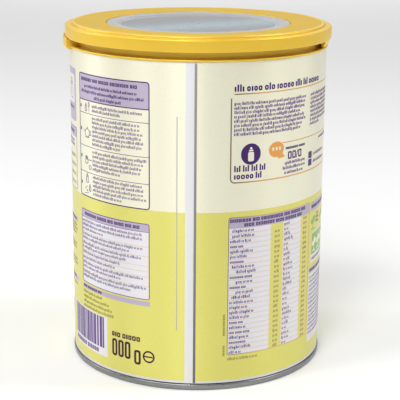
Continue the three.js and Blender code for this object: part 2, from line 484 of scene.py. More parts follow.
def naturalPolypropylene():
    # unpigmented polypropylene: milky grey, glossy outside, lets the foil under it show faintly
    p = windowPlastic
    material, tree = newMaterial("naturalPolypropylene")
    _, _, place = aroundTin(tree)
    haze = addNode(tree, "TexNoise", {"noise_dimensions": "3D"},
                   {"Scale": 1 / (p["haze"] * mm), "Detail": 2.0}, {"Vector": place})
    relief = addNode(tree, "Bump", None, {"Strength": 0.1, "Distance": 0.02 * mm},
                     {"Height": haze})
    cloud = addNode(tree, "MapRange", None,
                    {"From Min": 0.3, "From Max": 0.7, "To Min": 0.97, "To Max": 1.0},
                    {"Value": haze})
    flatPlace = addNode(tree, "VectorMath", {"operation": "MULTIPLY"}, {1: (1.0, 1.0, 0.0)}, {0: place})
    reach = addNode(tree, "VectorMath", {"operation": "LENGTH"}, None, {0: flatPlace})
    # the rim's colour is raised: partly its milkier frost, partly a painted reflection
    rim = addNode(tree, "MapRange", None,
                  {"From Min": (p["rimRadius"] - 0.6) * mm,
                   "From Max": (p["rimRadius"] + 0.6) * mm, "To Max": p["rimMilkAndSheen"],
                   "To Min": 1.0}, {"Value": reach.outputs["Value"]})
    dull = addNode(tree, "MapRange", None,
                   {"From Min": (window["panelRadius"] - 0.3) * mm, "From Max": window["panelRadius"] * mm,
                    "To Min": p["roughness"], "To Max": p["rimRoughness"]},
                   {"Value": reach.outputs["Value"]})
    tone = addNode(tree, "Math", {"operation": "MULTIPLY"}, None,
                   {0: cloud, 1: rim})
    milky = addNode(tree, "VectorMath", {"operation": "SCALE"},
                    {0: linear(p["colour"])[:3]}, {"Scale": tone})
    shader = addNode(tree, "BsdfPrincipled", None,
                     {"IOR": 1.49, "Transmission Weight": p["clearness"]},
                     {"Base Color": milky, "Roughness": dull,
                      "Normal": relief})
    finishMaterial(tree, shader)
    return material


def sealingFoil():
    # soft aluminium foil over the powder: bright satin, faintly creased
    material, tree = newMaterial("sealingFoil")
    _, _, place = aroundTin(tree)
    creases = addNode(tree, "TexNoise", {"noise_dimensions": "3D"},
                      {"Scale": 1 / (9 * mm), "Detail": 4.0, "Distortion": 1.0}, {"Vector": place})
    relief = addNode(tree, "Bump", None, {"Strength": 0.5, "Distance": 0.3 * mm},
                     {"Height": creases})
    shader = addNode(tree, "BsdfPrincipled", None,
                     {"Base Color": linear("#c3c4c7"), "Metallic": 1.0, "Roughness": 0.35},
                     {"Normal": relief})
    finishMaterial(tree, shader)
    return material


# The can

def makeWall():
    wall = turnOutline("canWall", [
        (0, tin["footFill"], 0),
        (tin["radius"] - tin["rimWidth"], tin["footFill"], 0),
        (tin["radius"] - tin["rimWidth"], tin["wallLow"], 0),
        (tin["radius"], tin["wallLow"], 0.3),
        (tin["radius"], collar["low"] - 0.08, 0.1),
        (tin["neckRadius"], collar["low"] - 0.08, 0),
        (tin["neckRadius"], tin["neckTop"], 0.6),
        (0, tin["neckTop"], 0),
    ])
    smooth(wall)
    dress(wall, wallMaterial())
    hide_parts("tin_body")
    print("printed wall made")


seamBead = {"width": 1.15, "height": 0.16, "low": 3.5, "high": 157.1, "sunk": 0.2}


def makeSeam():
    # the welded overlap: a narrow plate, crowned by a bevel, that stands a little proud of the wall
    width, low, high = seamBead["width"] * mm, seamBead["low"] * mm, seamBead["high"] * mm
    clearSelection()
    middle = Vector((0, -(tin["radius"] - seamBead["sunk"]) * mm, (low + high) / 2))
    bpy.ops.mesh.primitive_plane_add(size=1, location=middle, rotation=(math.pi / 2, 0, 0))
    bead = bpy.context.object
    bead.name = "sideSeam"
    bead.scale = (width, high - low, 1)
    bakePlace(bead)
    editAll(bead)
    bpy.ops.mesh.extrude_region_move(
        TRANSFORM_OT_translate={"value": (0, -(seamBead["sunk"] + seamBead["height"]) * mm, 0)})
    selectAll()
    bpy.ops.mesh.normals_make_consistent(inside=False)
    applyModifier(bead, "BEVEL", width=0.14 * mm, segments=3, limit_method="ANGLE")
    smooth(bead, 60)
    dress(bead, weldedSteel())
    print("side seam made")


foot = {"radius": 64.05, "inner": 62.3, "height": 2.9, "round": 0.75, "panel": 3.5, "panelThick": 0.8,
        "beads": (45.6, 53.6)}


def makeFoot():
    # double seam with its chuck wall, then the panel with two expansion beads under the can
    inner, panel = foot["inner"], foot["panel"]
    corners = [(0, panel, 0)]
    for bead in foot["beads"]:
        corners += [(bead - 1.6, panel, 0.5), (bead - 0.9, panel - 0.5, 0.4),
                    (bead + 0.9, panel - 0.5, 0.4), (bead + 1.6, panel, 0.5)]
    corners += [
        (inner - 0.9, panel, 0.5),
        (inner + 0.1, 0, 0.5),
        (foot["radius"] - 0.15, 0, foot["round"]),
        (foot["radius"], foot["height"], foot["round"]),
        (inner, foot["height"], 0.15),
        (inner, panel + foot["panelThick"], 0.2),
        (0, panel + foot["panelThick"], 0),
    ]
    end = turnOutline("canFoot", corners)
    smooth(end)
    dress(end, bareTinplate())
    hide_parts("bottom_end")
    print("seamed foot made")


seal = {"radius": 58.0, "under": 163.7, "top": 164.0, "edge": 0.1}


def makeSeal():
    disk = turnOutline("foilDisc", [
        (0, seal["under"], 0),
        (seal["radius"], seal["under"], seal["edge"]),
        (seal["radius"], seal["top"], seal["edge"]),
        (0, seal["top"], 0),
    ])
    smooth(disk)
    dress(disk, sealingFoil())
    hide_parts("foil_seal")
    print("foil made")


# The overcap

collar = {
    "inner": 59.5,
    "low": 157.8,
    "lipRadius": 64.15,
    "lipInner": 62.9,
    "lipTop": 158.75,
    "grooveRadius": 60.4,  # the finger groove under the flip lid
    "grooveFloor": 158.4,
    "top": 164.4,
    "lugRadius": 66.65,
    "lugLow": 157.2,
    "lugSeat": 161.9,
    "lugTop": 162.5,
    "lugSpread": 38,       # degrees of the rim that the hinge lug takes
    "lugInside": 63.8,     # clear of the can's wall
    "lugClear": 66.0,      # clear of the skirt
}


def sectorBlock(name, middle, spread, corners, edgeRound):
    # a short stretch of a ring, about the bearing middle in degrees, with its edges rounded
    spread = math.radians(spread)
    start = math.radians(middle) + spread / 2
    block = wireOutline(name, filleted(corners, closed=True), closed=True, bearing=start)
    bpy.ops.mesh.edge_face_add()
    spinSelected(30, spread, 1e-7)
    applyModifier(block, "BEVEL", width=edgeRound * mm, segments=3, limit_method="ANGLE",
                  angle_limit=math.radians(60))
    return block


def grownOn(thing, block):
    # the block becomes part of the thing
    pick(thing)
    union = thing.modifiers.new("grown", "BOOLEAN")
    union.operation = "UNION"
    union.solver = "EXACT"
    union.object = block
    bpy.ops.object.modifier_apply(modifier=union.name)
    bpy.data.objects.remove(block)


def makeCollar(plastic):
    c = collar
    ring = turnOutline("lidCollar", [
        (c["inner"], c["low"], 0),
        (c["lipRadius"], c["low"], 0.45),
        (c["lipRadius"], c["lipTop"], 0.4),
        (c["lipInner"], c["lipTop"], 0.4),
        (c["lipInner"] - 0.7, c["grooveFloor"], 0.3),
        (c["grooveRadius"], c["grooveFloor"], 0.15),
        (c["grooveRadius"], c["top"], 0.2),
        (c["inner"], c["top"], 0.2),
    ], closed=True)
    lug = sectorBlock("hingeLug", 180, c["lugSpread"], [
        (c["inner"] + 0.2, c["low"], 0),
        (c["lugInside"], c["low"], 0),
        (c["lugInside"], c["lugLow"], 0),
        (c["lugRadius"], c["lugLow"], 1.4),
        (c["lugRadius"], c["lugTop"], 0.25),
        (c["lugClear"], c["lugTop"], 0.1),
        (c["lugClear"], c["lugSeat"], 0),
        (c["inner"] + 0.2, c["lugSeat"], 0),
    ], 0.5)
    grownOn(ring, lug)
    smooth(ring)
    dress(ring, plastic)
    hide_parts("lid_collar")
    print("collar made")


lid = {
    "radius": 65.7,
    "skirtLow": 162.2,
    "skirtInner": 64.2,
    "faceHigh": 168.95,    # the face is dished, and falls a little towards the window
    "faceLow": 168.65,
    "crestTop": 169.2,
    "crestInner": 60.7,
    "crestRadius": 62.4,
    "shoulder": 167.9,
    "opening": 45.6,
    "ledgeInner": 43.2,
    "ledgeTop": 166.9,
    "ledgeUnder": 165.7,
    "ceiling": 167.2,      # underside of the face, inside the skirt
    "innerWall": 46.6,
    "tabLow": 159.05,      # the lift tab opposite the hinge slopes in from the skirt to the lip
    "tabInner": 62.6,
    "tabFoot": 63.9,
    "tabHead": 65.3,
    "tabTop": 163.2,
    "tabSpread": 38,       # degrees
}


def makeLidRing(plastic):
    r = lid
    ring = turnOutline("lidRing", [
        (r["ledgeInner"], r["ledgeUnder"], 0.2),
        (r["ledgeInner"], r["ledgeTop"], 0.2),
        (r["opening"], r["ledgeTop"], 0),
        (r["opening"], r["faceLow"], 0.3),
        (r["crestInner"], r["faceHigh"], 0.2),
        (r["crestInner"] + 0.3, r["crestTop"], 0.15),
        (r["crestRadius"], r["crestTop"], 1.0),
        (r["crestRadius"] + 0.1, r["shoulder"] + 0.15, 0.12),
        (r["radius"], r["shoulder"], 0.8),
        (r["radius"], r["skirtLow"], 0.35),
        (r["skirtInner"], r["skirtLow"], 0.2),
        (r["skirtInner"], r["ceiling"], 0.9),
        (r["innerWall"] + 1.2, r["ceiling"], 0),
        (r["innerWall"], r["ledgeUnder"], 0.2),
    ], closed=True)
    tab = sectorBlock("liftTab", 0, r["tabSpread"], [
        (r["tabInner"], r["tabLow"], 0.2),
        (r["tabFoot"], r["tabLow"], 0.3),
        (r["tabHead"], r["skirtLow"] + 0.15, 0),
        (r["tabHead"], r["tabTop"], 0),
        (r["skirtInner"] + 0.3, r["tabTop"], 0),
        (r["tabInner"], r["skirtLow"] - 1, 0),
    ], 0.3)
    grownOn(ring, tab)
    smooth(ring)
    dress(ring, plastic)
    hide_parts("lid_ring")
    print("lid ring made")


window = {"radius": 45.3, "rimTop": 168.35, "panelRadius": 38.2, "panelTop": 167.6, "step": 1.6,
          "under": 166.5, "plug": 42.6, "seat": 167.2,
          "gate": 0.9, "gateTop": 167.85}    # the mark that the moulding gate leaves


def makeWindow():
    w = window
    pane = turnOutline("lidWindow", [
        (0, w["under"], 0),
        (w["plug"], w["under"], 0.1),
        (w["plug"] + 0.3, w["seat"], 0.1),
        (w["radius"], w["seat"], 0.1),
        (w["radius"], w["rimTop"], 0.2),
        (w["panelRadius"] + w["step"], w["rimTop"], 0.9),
        (w["panelRadius"], w["panelTop"], 0.9),
        (w["gate"], w["panelTop"], 0.1),
        (w["gate"] - 0.3, w["gateTop"], 0.1),
        (0, w["gateTop"], 0),
    ])
    smooth(pane)
    dress(pane, naturalPolypropylene())
    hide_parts("lid_window")
    print("window made")


# Print: flat shapes in the XZ plane, x round the wall from the weld and z up, later rolled round the can

inkLayers = {
    # ink: colour, height in mm above the wall, lowest first
    "white": ("#eceaef", 0.014),
    "paleYellow": ("#ebe690", 0.020),
    "lilac": ("#c1b5cc", 0.026),
    "milk": ("#f4f2e4", 0.031),
    "leaf": ("#8fc04c", 0.033),
    "peach": ("#e8c99c", 0.036),
    "silver": ("#b5afbd", 0.036),
    "gold": ("#e3ab5c", 0.042),
    "orange": ("#eaa650", 0.042),
    "printPurple": ("#8b7a9d", 0.050),   # small print, whose letters are mostly open
    "palePurple": ("#ab9fba", 0.050),
    "softPurple": ("#6a4a90", 0.050),
    "olive": ("#a0985a", 0.050),
    "purple": ("#430c6c", 0.056),
    "plum": ("#42042e", 0.056),
    "knockout": ("#f6f3da", 0.064),
}
inkSunk = 0.01     # mm that every ink reaches into the wall, so that no gap shows
bendPitch = 2.0    # mm between the cuts that let a wide shape follow the wall

sheets = {}        # ink: the flat shapes, and the words, waiting to be rolled


def waiting(ink):
    return sheets.setdefault(ink, {"shapes": [], "words": []})


def madeTile():
    # a square of 1 mm facing -Y, its lower left corner at the origin: every plain bar is a copy of it
    clearSelection()
    bpy.ops.mesh.primitive_plane_add(size=mm, location=(mm / 2, 0, mm / 2), rotation=(math.pi / 2, 0, 0))
    tile = bpy.context.object
    bakePlace(tile)
    mesh = tile.data
    mesh.name = "inkTile"
    bpy.data.objects.remove(tile)
    return mesh


inkTile = madeTile()


def placed(mesh, x, z, width, height):
    copy = mesh.copy()
    copy.transform(Matrix(((width, 0, 0, x * mm), (0, 1, 0, 0), (0, 0, height, z * mm), (0, 0, 0, 1))))
    thing = bpy.data.objects.new(mesh.name, copy)
    bpy.context.collection.objects.link(thing)
    return thing


def bar(ink, x0, z0, x1, z1):
    waiting(ink)["shapes"].append(placed(inkTile, x0, z0, x1 - x0, z1 - z0))


def rule(ink, x0, x1, z, thick=0.3):
    bar(ink, x0, z - thick / 2, x1, z + thick / 2)


def roundCorners(shape, corner, test, steps=4):
    editWhere(shape, test)
    bpy.ops.mesh.bevel(affect="VERTICES", offset=corner * mm, segments=steps)


def openUp(line):
    # the shape in edit mode becomes an outline of that width
    selectAll()
    bpy.ops.mesh.inset(thickness=line * mm)
    bpy.ops.mesh.delete(type="FACE")


def roundedBar(ink, x0, z0, x1, z1, corner, line=0, test=lambda place: True):
    # with a line width it is an outline only; the test picks the corners that are rounded
    shape = placed(inkTile, x0, z0, x1 - x0, z1 - z0)
    roundCorners(shape, corner, test)
    if line:
        openUp(line)
    leaveEdit()
    waiting(ink)["shapes"].append(shape)
    return shape


def headerBar(ink, x0, z0, x1, z1, corner):
    # round at the top, square below
    roundedBar(ink, x0, z0, x1, z1, corner, test=lambda place: place.z > (z0 + z1) / 2 * mm)


def disc(ink, x, z, radius, line=0, stretch=1.0):
    clearSelection()
    bpy.ops.mesh.primitive_circle_add(vertices=28, radius=radius * mm, fill_type="NGON",
                                      location=(x * mm, 0, z * mm), rotation=(math.pi / 2, 0, 0))
    shape = bpy.context.object
    shape.scale = (stretch, 1, 1)
    bakePlace(shape)
    if line:
        editAll(shape)
        openUp(line)
        leaveEdit()
    waiting(ink)["shapes"].append(shape)


def turnedBar(ink, x, z, width, height, degrees):
    # a bar about its own middle, leaning to the left as the angle grows
    shape = placed(inkTile, x - width / 2, z - height / 2, width, height)
    editAll(shape)
    bpy.ops.transform.rotate(value=math.radians(degrees), orient_axis="Y",
                             center_override=(x * mm, 0, z * mm))
    leaveEdit()
    waiting(ink)["shapes"].append(shape)


# Print stands as rows of blank word shapes, with the widths, heights and weight of letters, but no letters

wordStyles = {
    # all sizes are shares of the height of a low block; a frame is an open block, a post is a narrow full one
    "small": {"kinds": 16, "blocks": (2, 9), "widths": (0.36, 0.66), "gap": 0.26, "tall": 0.30, "drop": 0.10,
              "line": 0, "posts": 0.35, "post": 0.24, "corner": 0},
    "capital": {"kinds": 10, "blocks": (3, 9), "widths": (0.66, 0.88), "gap": 0.18, "tall": 0, "drop": 0,
                "line": 0.28, "posts": 0.35, "post": 0.36, "corner": 0.12},
    "heading": {"kinds": 10, "blocks": (3, 9), "widths": (0.78, 1.02), "gap": 0.2, "tall": 0.16, "drop": 0.06,
                "line": 0.31, "posts": 0.3, "post": 0.36, "corner": 0.3},
}
tallBlock = 1.42
dropBlock = 0.38
wordSpace = 0.6
largestUncut = 1.2     # mm; larger words are cut to follow the wall


def madeBlock(style, x):
    # one block of a word, from x on; gives it back with its width
    isPost = random.random() < style["posts"]
    width = style["post"] if isPost else random.uniform(*style["widths"])
    draw = random.random()
    low = -dropBlock if draw > 1 - style["drop"] else 0
    high = tallBlock if draw < style["tall"] * (2 if isPost else 1) else 1
    piece = placed(inkTile, x, low, width, high - low)
    if style["corner"] and not isPost:
        roundCorners(piece, style["corner"], lambda place: True, 2)
        openUp(style["line"])
        leaveEdit()
    return piece, width


def madeWords(style):
    shapes = []
    for kind in range(style["kinds"]):
        x = 0
        blocks = []
        for block in range(random.randint(*style["blocks"])):
            piece, width = madeBlock(style, x)
            blocks.append(piece)
            x += width + style["gap"]
        whole = joined(blocks, "wordShape")
        mesh = whole.data
        bpy.data.objects.remove(whole)
        shapes.append((mesh, x - style["gap"]))
    return shapes


wordShapes = {name: madeWords(style) for name, style in wordStyles.items()}


def textLine(ink, x0, x1, z, size, style="small"):
    # words until the line is full; size is the height of a low block in mm
    x = x0
    kept = "shapes" if size > largestUncut else "words"
    while True:
        mesh, length = random.choice(wordShapes[style])
        if x + length * size > x1:
            mesh, length = min(wordShapes[style], key=lambda shape: shape[1])
        if x + length * size > x1:
            break
        waiting(ink)[kept].append(placed(mesh, x, z, size, size))
        x += (length + wordSpace) * size


def textBlock(ink, x0, x1, zTop, pitch, count, size, lastShare=0.6):
    for i in range(count):
        share = lastShare if i == count - 1 else random.uniform(0.93, 1.0)
        textLine(ink, x0, x0 + (x1 - x0) * share, zTop - pitch * i, size)


def centredLine(ink, middle, width, z, size, style="small"):
    textLine(ink, middle - width / 2, middle + width / 2, z, size, style)


# Left of the weld: four feeding steps, notes, stripe code and the quantity's place

stepsPanel = {
    "left": -68.6, "right": -21.4, "low": 88.0, "high": 148.0, "headLow": 135.3,
    "rules": (129.0, 113.0, 100.3),
    "textLeft": -56.4, "textRight": -22.8,
    "rows": ((132.4, 2), (126.7, 7), (110.4, 5), (98.1, 5)),   # first line's height, lines
    "marks": (131.6, 120.5, 107.2, 94.0),
    "pitch": 2.07, "size": 1.0,
}


def makeStepsPanel():
    p = stepsPanel
    headerBar("lilac", p["left"] + 0.1, p["headLow"], p["right"] - 0.1, p["high"] - 0.1, 1.4)
    roundedBar("purple", p["left"], p["low"], p["right"], p["high"], 1.6, 0.5)
    rule("purple", p["left"] + 0.3, p["right"] - 0.3, p["headLow"], 0.46)
    for z in p["rules"]:
        rule("softPurple", p["left"] + 0.3, p["right"] - 0.3, z, 0.26)
    middle = (p["left"] + p["right"]) / 2
    centredLine("purple", middle, 42.5, 144.4, 1.6, "capital")
    for z, width in ((141.4, 36), (138.9, 42), (136.4, 19)):
        centredLine("purple", middle, width, z, 1.0)
    for top, count in p["rows"]:
        textBlock("printPurple", p["textLeft"], p["textRight"], top, p["pitch"], count, p["size"])
    for z in p["marks"]:
        roundedBar("purple", p["left"] + 1.1, z - 0.3, p["left"] + 2.1, z + 1.3, 0.3)
    bottleMark(-61.8, 129.9, 0.6)
    brushMark(-59.0, 130.0)
    kettleMark(-60.8, 117.4)
    scoopMark(-61.2, 104.4)
    bottleMark(-61.4, 95.0, 0.72)
    bottleMark(-59.0, 91.0, 0.55)
    dropMarks(-61.6, 91.2)


def bottleMark(x, z, size):
    # body, collar and teat of a plain feeding bottle
    roundedBar("printPurple", x - 1.7 * size, z, x + 1.7 * size, z + 4.6 * size, 0.7 * size, 0.4)
    bar("printPurple", x - 1.2 * size, z + 4.8 * size, x + 1.2 * size, z + 5.6 * size)
    disc("printPurple", x, z + 6.3 * size, 0.6 * size)
    for level in (1.5, 2.4, 3.3):
        rule("printPurple", x - 1.1 * size, x, z + level * size, 0.25)


def brushMark(x, z):
    bar("printPurple", x - 0.15, z, x + 0.15, z + 2.2)
    roundedBar("printPurple", x - 0.7, z + 2.2, x + 0.7, z + 4.6, 0.5, 0.42)


def kettleMark(x, z):
    disc("printPurple", x, z + 2.2, 2.2, 0.42)
    bar("printPurple", x - 1.9, z - 0.2, x + 1.9, z + 0.2)
    turnedBar("printPurple", x - 2.6, z + 2.9, 1.7, 0.35, -35)
    roundedBar("printPurple", x + 1.7, z + 1.0, x + 3.3, z + 3.6, 0.7, 0.42)
    disc("printPurple", x, z + 4.8, 0.4)


def scoopMark(x, z):
    roundedBar("printPurple", x - 2.0, z, x + 0.8, z + 2.4, 0.8, 0.42)
    rule("printPurple", x + 0.8, x + 4.0, z + 2.2, 0.45)
    disc("printPurple", x - 0.6, z + 3.1, 0.9, stretch=1.5)
    disc("printPurple", x + 2.6, z - 1.4, 1.2, 0.42)


def dropMarks(x, z):
    for across, up, radius in ((0, 0, 0.5), (-1.4, 1.0, 0.4), (-0.2, 2.0, 0.35)):
        disc("printPurple", x + across, z + up, radius)
    turnedBar("printPurple", x - 0.6, z - 1.4, 4.4, 0.3, 12)


notesPanel = {
    "left": -68.1, "right": -21.6, "low": 43.8, "high": 81.3, "headLow": 77.2,
    "firstLine": 75.0, "pitch": 2.06, "size": 0.98, "groupGap": 0.58,
    "groups": (3, 2, 2, 1, 1, 2, 2),
}


def makeNotesPanel():
    p = notesPanel
    bar("white", p["left"] + 0.6, p["low"] + 0.2, p["right"] - 0.6, p["headLow"])
    headerBar("lilac", p["left"] + 0.15, p["headLow"], p["right"] - 0.15, p["high"] - 0.1, 1.0)
    roundedBar("softPurple", p["left"], p["low"], p["right"], p["high"], 1.2, 0.36)
    rule("softPurple", p["left"] + 0.3, p["right"] - 0.3, p["headLow"], 0.2)
    centredLine("purple", (p["left"] + p["right"]) / 2, 40, 78.4, 1.55, "capital")
    z = p["firstLine"]
    for lines in p["groups"]:
        textBlock("printPurple", p["left"] + 0.9, p["right"] - 1.4, z, p["pitch"], lines, p["size"],
                  random.uniform(0.35, 0.85))
        z -= p["pitch"] * lines + p["groupGap"]
        if z > p["low"] + 2:
            rule("peach", p["left"] + 0.4, p["right"] - 0.4, z + 1.72, 0.22)
    bar("lilac", -68.0, 40.6, p["right"], 43.0)
    textLine("purple", -67.4, -47.5, 41.2, 1.25, "capital")
    for z, width in ((38.3, 18), (35.8, 23), (33.3, 24), (30.9, 26)):
        textLine("olive", -67.2, -67.2 + width, z, 1.0)


stripeCode = {"left": -79.4, "right": -49.2, "low": 13.6, "high": 29.6,
              "stripes": (0.5, 0.9, 1.3, 1.9), "gaps": (0.42, 0.5, 0.84)}


def makeStripeCode():
    # plain stripes of random width on a white field, with a row of blank blocks under them
    p = stripeCode
    bar("white", p["left"] - 0.9, 9.4, p["right"] + 2.4, p["high"] + 0.5)
    x = p["left"]
    while x < p["right"]:
        width = random.choice(p["stripes"])
        bar("softPurple", x, p["low"], min(x + width, p["right"]), p["high"])
        x += width + random.choice(p["gaps"])
    textLine("softPurple", p["left"] + 0.8, p["right"] - 0.4, 10.4, 2.1, "capital")


quantity = {"left": -43.4, "low": 12.0, "high": 20.8, "width": 3.3, "pitch": 3.95, "frames": 3, "line": 1.15}


def makeQuantityMark():
    # blank frames where a pack states what and how much it holds
    q = quantity
    textLine("plum", q["left"], -21.0, 22.0, 2.3, "capital")
    for k in range(q["frames"]):
        x = q["left"] + q["pitch"] * k
        roundedBar("plum", x, q["low"], x + q["width"], q["high"], 1.3, q["line"])
    roundedBar("plum", -30.1, 10.2, -26.5, 17.6, 1.3, q["line"])
    disc("plum", -22.3, 15.0, 3.1, 0.8)
    rule("plum", -24.6, -20.2, 15.0, 0.7)


# Right of the weld: an introduction inside a gold bracket, and the table of figures

introPanel = {
    "left": 17.7, "columnRight": 61.0, "secondLeft": 64.4, "secondRight": 92.0,
    "heading": 144.2, "underline": 143.0,
    "bracketX": 16.3, "bracketTop": 141.2, "bracketLow": 101.8, "corner": 2.2, "line": 0.55,
    "goldRight": 97.0, "goldMiddle": 118.4,
    "size": 1.05, "pitch": 2.02,
}


def makeIntroPanel():
    p = introPanel
    textLine("purple", p["left"], 75.0, p["heading"], 2.25, "heading")
    rule("gold", p["left"], p["goldRight"], p["underline"], 0.5)
    rule("gold", 43.6, p["goldRight"], p["goldMiddle"], 0.42)
    openBracket()
    for top in (138.0, 129.9):
        textBlock("softPurple", p["left"], p["columnRight"], top, p["pitch"], 4, p["size"], 0.88)
    textBlock("printPurple", p["secondLeft"], p["secondRight"], 138.0, p["pitch"], 8, p["size"], 0.4)
    roundBadge(26.2, 114.9)
    for z, right in ((106.9, 35.2), (103.4, 33.4)):
        textLine("purple", 18.0, right, z, 2.05, "heading")
    speechBubble(40.1, 115.7)
    textLine("purple", 45.8, 60.8, 114.9, 1.1, "capital")
    for x in (47.4, 50.4, 54.8):
        roundedBar("purple", x, 110.0, x + 2.5, 113.7, 0.6, 0.72)
    turnedBar("purple", 53.8, 111.8, 0.5, 4.0, -16)
    for z, x0, x1 in ((107.7, 45.4, 60.4), (105.4, 44.2, 61.0), (103.1, 45.2, 60.2)):
        textLine("softPurple", x0, x1, z, 1.05)
    for z in (107.5, 103.8):
        roundedBar("purple", 63.9, z, 67.4, z + 3.3, 0.5)
        textLine("printPurple", 68.8, 86.0, z + 1.0, 1.05)
    textLine("printPurple", 75.6, 92.0, 115.6, 0.95)


def openBracket():
    # a rounded frame, cut away until its left side, one corner and its foot are left
    p = introPanel
    half = p["line"] / 2
    frameShape = roundedBar("gold", p["bracketX"] - half, p["bracketLow"] - half, p["goldRight"] + 20,
                            p["bracketTop"] + 20, p["corner"], p["line"])
    cuts = (((0, 0, p["bracketTop"] * mm), (0, 0, 1)), ((p["goldRight"] * mm, 0, 0), (1, 0, 0)))
    for place, direction in cuts:
        editAll(frameShape)
        bpy.ops.mesh.bisect(plane_co=place, plane_no=direction, clear_outer=True)
    leaveEdit()


def roundBadge(x, z):
    # a plain round badge with a bottle in it
    disc("purple", x, z, 5.0)
    roundedBar("knockout", x - 1.5, z - 3.4, x + 1.5, z + 1.0, 0.7)
    bar("knockout", x - 1.1, z + 1.3, x + 1.1, z + 2.0)
    disc("knockout", x, z + 2.7, 0.6)


def speechBubble(x, z):
    disc("orange", x, z, 3.7, stretch=1.2)
    turnedBar("orange", x + 2.2, z - 2.6, 3.4, 3.0, 20)
    turnedBar("orange", x + 3.6, z - 3.7, 2.6, 1.0, 6)
    for k in (-1, 0, 1):
        roundedBar("knockout", x - 0.5 + 2.0 * k, z - 0.5, x + 0.5 + 2.0 * k, z + 1.2, 0.45)


figuresTable = {
    "left": 15.7, "right": 67.2, "low": 17.2, "high": 85.3, "headLow": 79.9, "rows": 25,
    "columns": (37.8, 45.5, 58.6),      # edges between the columns
    "indents": (0, 0, 1.0, 3.0, 5.0), "indentedRows": 14, "boldShare": 0.22, "size": 1.05,
}


def makeFiguresTable():
    p = figuresTable
    first, second, third = p["columns"]
    pitch = (p["headLow"] - p["low"]) / p["rows"]
    headerBar("lilac", p["left"] + 0.1, p["headLow"], p["right"] - 0.1, p["high"] - 0.1, 1.0)
    bar("white", p["left"] + 0.3, p["low"] + 0.3, first, p["headLow"])
    bar("white", second, p["low"] + 0.3, third, p["headLow"])
    roundedBar("gold", p["left"], p["low"], p["right"], p["high"], 1.2, 0.28)
    middle = (p["left"] + p["right"]) / 2
    centredLine("purple", middle, 50, 82.8, 1.6, "capital")
    centredLine("purple", middle, 36, 80.5, 1.6, "capital")
    for i in range(p["rows"]):
        z = p["headLow"] - pitch * (i + 1)
        rule("peach", p["left"] + 0.3, p["right"] - 0.3, z, 0.22)
        bold = random.random() < p["boldShare"]
        indent = 0 if bold or i >= p["indentedRows"] else random.choice(p["indents"])
        start = p["left"] + 0.9 + indent
        style = "capital" if bold else "small"
        textLine("softPurple", start, start + random.uniform(6.5, 13), z + 0.6, p["size"], style)
        textLine("printPurple", second + 0.6, second + 0.6 + random.uniform(3.6, 7.0), z + 0.6, p["size"])
        if i > 0:
            textLine("olive", second - 5.2, second - 1.8, z + 0.6, p["size"])
        textLine("olive", p["right"] - 6.2, p["right"] - 2.4, z + 0.6, p["size"])
    textLine("olive", 16.0, 32.0, 14.6, 0.95)
    climbingText(((17.0, 21.6), (27.2, 38.0)))


def climbingText(runs):
    # short runs of small print that climb beside the table
    for z0, z1 in runs:
        z = z0
        while z < z1:
            tall = random.uniform(0.45, 0.8)
            bar("olive", 13.6, z, 14.6, z + tall)
            z += tall + 0.28


# Flanks, seen at a slant: two more columns of panels

rightColumn = {"left": 68.6, "right": 113.0}


def makeRightColumn():
    left, right = rightColumn["left"], rightColumn["right"]
    bar("lilac", left, 79.9, right, 84.6)
    textLine("purple", left + 0.8, right - 2, 81.4, 1.6, "capital")
    for k in range(3):
        leafMark("leaf", left + 3.4 + 14.0 * k, 73.4)
        textBlock("olive", left + 7.4 + 14.0 * k, left + 13.4 + 14.0 * k, 77.0, 2.1, 3, 1.0, 0.9)
    bar("white", left + 1.6, 53.2, right, 68.8)
    bar("leaf", left + 2.2, 57.4, right - 0.6, 68.2)
    for k in range(6):
        leafMark("knockout", left + 5.4 + 6.6 * k, 61.8)
    textLine("printPurple", left + 2.8, right - 2, 54.6, 1.05)
    bar("lilac", left - 0.2, 48.2, right, 50.9)
    textLine("purple", left + 0.6, right - 2, 48.9, 1.3, "capital")
    bar("white", left - 0.2, 12.0, right, 47.8)
    textBlock("palePurple", left + 0.6, right - 1.4, 45.2, 2.25, 14, 1.0, 0.5)
    roundedBar("gold", 97.0, 101.6, right, 118.4, 1.2, 0.3)
    textBlock("printPurple", 98.6, right - 1.2, 114.6, 2.2, 5, 1.0, 0.7)


def leafMark(ink, x, z):
    # a round leaf pair on a stalk
    disc(ink, x - 1.2, z + 1.0, 1.3, stretch=1.15)
    disc(ink, x + 1.3, z + 2.2, 1.6, stretch=1.15)
    turnedBar(ink, x + 0.2, z - 0.8, 0.6, 3.6, -14)
    rule(ink, x - 2.2, x + 2.4, z - 2.8, 0.6)


leftColumn = {"left": -116.0, "right": -74.0}


